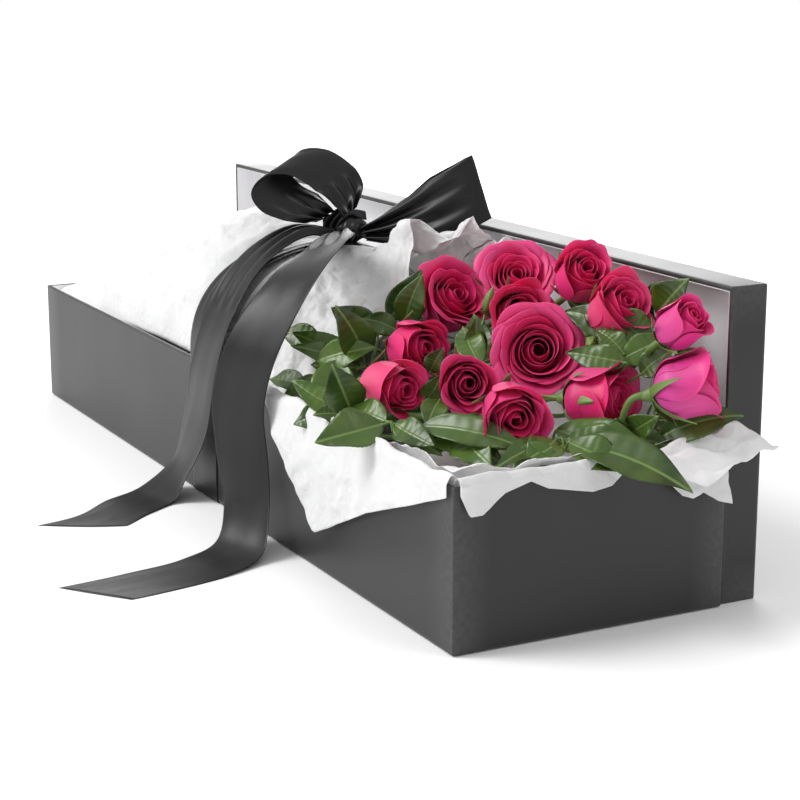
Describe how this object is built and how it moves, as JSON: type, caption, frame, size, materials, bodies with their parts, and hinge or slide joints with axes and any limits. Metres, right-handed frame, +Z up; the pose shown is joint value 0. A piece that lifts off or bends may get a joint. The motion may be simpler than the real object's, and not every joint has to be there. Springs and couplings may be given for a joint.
{
  "type": "flower box",
  "caption": "Long rigid presentation box of pink roses and foliage laid in white tissue, tied with a satin bow, its lift-off lid standing behind it.",
  "frame": {"origin": "on the table below the middle of the tray, where the ribbon passes under it", "axes": "+X along the tray towards the blooms, +Y across it towards the standing lid, +Z up"},
  "size_m": [0.8671, 0.402, 0.2665],
  "materials": {
    "covering_paper": "satin-matte charcoal coated paper",
    "greyboard": "raw pressed greyboard",
    "lining_paper": "smooth white lining paper",
    "stay_paper": "gummed brown paper",
    "tissue_paper": "crumpled white tissue",
    "rose": "velvety hot-pink petals on green stems",
    "foliage": "waxy green leaves",
    "rubber_tie": "natural rubber",
    "pouch_film": "clear film",
    "satin_ribbon": "black double-faced satin"
  },
  "bodies": {
    "tray": {"tray_wrap": "covering_paper", "tray_board": "greyboard", "tray_liner": "lining_paper", "tray_corner_stay_1": "stay_paper", "tray_corner_stay_2": "stay_paper", "tray_corner_stay_3": "stay_paper", "tray_corner_stay_4": "stay_paper", "tissue_lining": "tissue_paper", "tissue_wrap": "tissue_paper", "tissue_collar": "tissue_paper", "tissue_front_drape": "tissue_paper", "tissue_end_drape": "tissue_paper", "tissue_bed": "tissue_paper", "bloom_pad": "tissue_paper", "rose_01": "rose", "rose_02": "rose", "rose_03": "rose", "rose_04": "rose", "rose_05": "rose", "rose_06": "rose", "rose_07": "rose", "rose_08": "rose", "rose_09": "rose", "rose_10": "rose", "rose_11": "rose", "rose_12": "rose", "rose_13": "rose", "foliage_sprig_01": "foliage", "foliage_sprig_02": "foliage", "foliage_sprig_03": "foliage", "foliage_sprig_04": "foliage", "foliage_sprig_05": "foliage", "foliage_sprig_06": "foliage", "foliage_sprig_07": "foliage", "foliage_sprig_08": "foliage", "foliage_sprig_09": "foliage", "foliage_sprig_10": "foliage", "stem_tie": "rubber_tie", "water_pouch": "pouch_film", "ribbon_band": "satin_ribbon", "ribbon_knot": "satin_ribbon", "ribbon_loop_left": "satin_ribbon", "ribbon_loop_right": "satin_ribbon", "ribbon_tail_left": "satin_ribbon", "ribbon_tail_right": "satin_ribbon"},
    "lid": {"lid_wrap": "covering_paper", "lid_board": "greyboard", "lid_liner": "lining_paper", "lid_corner_stay_1": "stay_paper", "lid_corner_stay_2": "stay_paper", "lid_corner_stay_3": "stay_paper", "lid_corner_stay_4": "stay_paper"}
  },
  "joints": [
    {"name": "lid_lift", "type": "slide", "parent": "tray", "child": "lid", "axis": [0, 0, 1], "range_m": [0, 0.3]}
  ]
}
